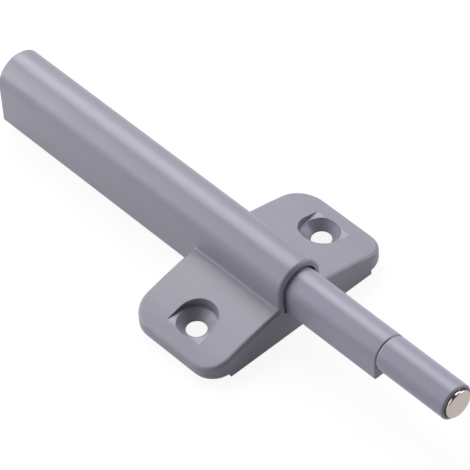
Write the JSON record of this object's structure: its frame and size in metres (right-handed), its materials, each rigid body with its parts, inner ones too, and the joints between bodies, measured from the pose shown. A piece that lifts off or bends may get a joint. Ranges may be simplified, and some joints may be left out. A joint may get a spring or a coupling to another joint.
{
  "type": "magnetic push latch",
  "caption": "Push-open cupboard latch: a long arched tube with screw-on wings, and a sprung rod with a screw-adjustable magnetic tip.",
  "frame": {"origin": "midway between the two screw holes, on the plane that the wings are screwed down to", "axes": "+Z leaves the mounting plane; -Y is the way the magnet faces, towards the door; +Y runs along the tube to its closed rear end; +X is across the wings"},
  "size_m": [0.0454, 0.1212, 0.0162],
  "materials": {
    "housing_plastic": "fine satin texture, grey with a cool tint, moulded",
    "rod_plastic": "smooth satin, grey with a cool tint, moulded",
    "magnet_nickel": "bright nickel plate with tumbled edges",
    "spring_steel": "drawn spring steel"
  },
  "bodies": {
    "housing": {"mounting_housing": "housing_plastic", "follower_leaf": "spring_steel", "return_spring": "spring_steel"},
    "rod": {"push_rod": "rod_plastic"},
    "tip": {"magnet_tip": "rod_plastic", "magnet": "magnet_nickel"},
    "follower": {"follower_pin": "spring_steel"}
  },
  "joints": [
    {"name": "rod_push", "type": "slide", "parent": "housing", "child": "rod", "axis": [0, 1, 0], "range_m": [0, 0.038], "stiffness_N_per_m": 240, "springref_m": -0.008, "deforming": ["return_spring"]},
    {"name": "tip_adjust", "type": "slide", "parent": "rod", "child": "tip", "axis": [0, -1, 0], "range_m": [0, 0.004]},
    {"name": "follower_swing", "type": "hinge", "parent": "housing", "child": "follower", "pos_m": [-0.0019, -0.005, 0.005], "axis": [0, 0, -1], "range_deg": [0, 16.99]}
  ]
}
